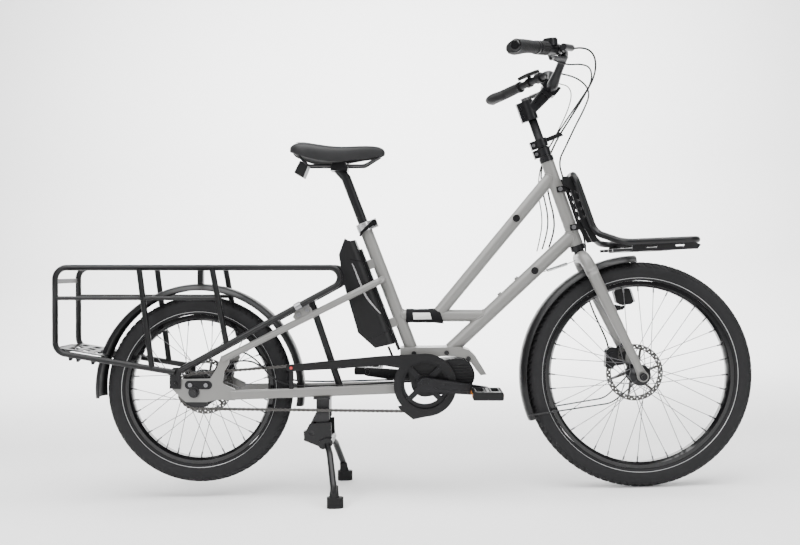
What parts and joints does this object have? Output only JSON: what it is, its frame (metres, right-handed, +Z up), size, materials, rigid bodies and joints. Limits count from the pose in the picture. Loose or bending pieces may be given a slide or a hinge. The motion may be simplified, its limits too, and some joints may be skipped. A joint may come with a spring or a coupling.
{
  "type": "cargo bicycle",
  "caption": "Long-tail electric-assist cargo bicycle on its two-leg stand, with a step-through frame, a tubular rear cargo rack, a front rack and a mid-mounted drive unit.",
  "frame": {"origin": "on the floor, under the middle of the bicycle's overall length and width, as it stands on its two-leg stand and front tyre", "axes": "+X points forward to the front wheel, +Y to the rider's left, +Z up"},
  "size_m": [1.9212, 0.7016, 1.2136],
  "materials": {
    "frame_paint": "satin",
    "black_metal": "satin",
    "steel": "satin",
    "spoke_steel": "polished",
    "rotor_steel": "brushed",
    "hub_alloy": "satin",
    "black_plastic": "satin",
    "lever_alloy": "satin",
    "red_plastic": "gloss",
    "cloth": "woven",
    "tyre_rubber": "matte",
    "grip_rubber": "matte",
    "hose": "satin",
    "saddle_cover": "matte"
  },
  "bodies": {
    "frame": {"head_and_top_tube": "frame_paint", "down_and_cross_tube": "frame_paint", "seat_tube": "frame_paint", "seat_stays": "frame_paint", "chain_stays": "frame_paint", "dropouts": "frame_paint", "frame_fasteners": "steel", "dropout_inserts": "steel", "drive_unit": "black_plastic", "chain_guard": "black_plastic", "frame_sleeve": "cloth", "battery_rail": "black_metal", "rear_rack_right": "black_metal", "rear_rack_left": "black_metal", "rear_rack_crossbars": "black_metal", "tail_lamp": "red_plastic", "rear_mudguard": "black_plastic", "front_rack": "black_metal", "headset_cups": "black_metal", "seat_clamp": "black_metal", "stand_mount": "black_metal", "rear_caliper": "black_metal", "chain": "steel", "frame_hoses": "hose"},
    "clamp_lever": {"seat_clamp_lever": "black_metal"},
    "seat": {"seatpost": "black_metal", "saddle": "saddle_cover", "saddle_rails": "steel"},
    "battery_pack": {"battery": "black_plastic"},
    "steering": {"fork": "frame_paint", "front_mudguard": "black_plastic", "headlamp": "black_plastic", "front_caliper": "black_metal", "stem": "black_metal", "handlebar": "black_metal", "grips": "grip_rubber", "lever_clamps": "black_plastic", "display": "black_plastic", "front_brake_hose": "hose", "control_hoses": "hose", "steering_damper": "steel"},
    "lever_right": {"brake_lever_right": "lever_alloy"},
    "lever_left": {"brake_lever_left": "lever_alloy"},
    "shifter": {"twist_shifter": "black_plastic"},
    "front_wheel": {"front_tyre": "tyre_rubber", "front_rim": "black_metal", "front_spokes": "spoke_steel", "front_hub": "hub_alloy", "front_rotor": "rotor_steel"},
    "rear_wheel": {"rear_tyre": "tyre_rubber", "rear_rim": "black_metal", "rear_spokes": "spoke_steel", "rear_hub": "hub_alloy", "rear_rotor": "rotor_steel"},
    "sprocket": {"rear_sprocket": "steel"},
    "crank": {"crankset": "black_metal", "chainring": "black_metal"},
    "pedal_right": {"pedal_right": "black_plastic"},
    "pedal_left": {"pedal_left": "black_plastic"},
    "stand": {"stand": "black_metal"}
  },
  "joints": [
    {"name": "steering_turn", "type": "hinge", "parent": "frame", "child": "steering", "pos_m": [0.45222, 0, 0.79488], "axis": [-0.3045, 0, 0.9525], "range_deg": [-50, 50], "stiffness_Nm_per_rad": 2, "deforming": ["control_hoses", "steering_damper", "front_brake_hose"]},
    {"name": "front_wheel_spin", "type": "hinge", "parent": "steering", "child": "front_wheel", "pos_m": [0.64913, 0, 0.3115], "axis": [0, 1, 0], "continuous": true},
    {"name": "rear_wheel_spin", "type": "hinge", "parent": "frame", "child": "rear_wheel", "pos_m": [-0.57396, 0, 0.30365], "axis": [0, 1, 0], "continuous": true},
    {"name": "crank_turn", "type": "hinge", "parent": "frame", "child": "crank", "pos_m": [0.05646, 0, 0.30811], "axis": [0, 1, 0], "continuous": true},
    {"name": "sprocket_turn", "type": "hinge", "parent": "frame", "child": "sprocket", "pos_m": [-0.57396, 0, 0.30365], "axis": [0, 1, 0], "continuous": true},
    {"name": "pedal_right_spin", "type": "hinge", "parent": "crank", "child": "pedal_right", "pos_m": [0.22008, -0.13, 0.28679], "axis": [0, 1, 0], "continuous": true},
    {"name": "pedal_left_spin", "type": "hinge", "parent": "crank", "child": "pedal_left", "pos_m": [-0.10716, 0.13, 0.32942], "axis": [0, 1, 0], "continuous": true},
    {"name": "brake_lever_right_pull", "type": "hinge", "parent": "steering", "child": "lever_right", "pos_m": [0.43756, -0.18498, 1.15899], "axis": [-0.4843, 0.4797, -0.7317], "range_deg": [0, 12], "stiffness_Nm_per_rad": 1, "springref_deg": -11.46},
    {"name": "brake_lever_left_pull", "type": "hinge", "parent": "steering", "child": "lever_left", "pos_m": [0.44461, 0.1754, 1.16061], "axis": [0.4843, 0.4797, 0.7317], "range_deg": [0, 12], "stiffness_Nm_per_rad": 1, "springref_deg": -11.46},
    {"name": "shifter_twist", "type": "hinge", "parent": "steering", "child": "shifter", "pos_m": [0.37302, -0.23783, 1.16707], "axis": [0.5872, 0.7982, 0.1346], "range_deg": [-55, 55]},
    {"name": "seat_height", "type": "slide", "parent": "frame", "child": "seat", "axis": [-0.3302, 0, 0.9439], "range_m": [-0.06, 0.08]},
    {"name": "seat_clamp_open", "type": "hinge", "parent": "frame", "child": "clamp_lever", "pos_m": [-0.07073, -0.02, 0.7541], "axis": [0, 1, 0], "range_deg": [0, 150]},
    {"name": "battery_slide", "type": "slide", "parent": "frame", "child": "battery_pack", "axis": [-0.3302, 0, 0.9439], "range_m": [0, 0.12]},
    {"name": "stand_fold", "type": "hinge", "parent": "frame", "child": "stand", "pos_m": [-0.25953, 0, 0.18014], "axis": [0, 1, 0], "range_deg": [0, 95]}
  ],
  "couplings": [
    {"joint": "sprocket_turn", "follows": "crank_turn", "ratio": 1.5833}
  ]
}
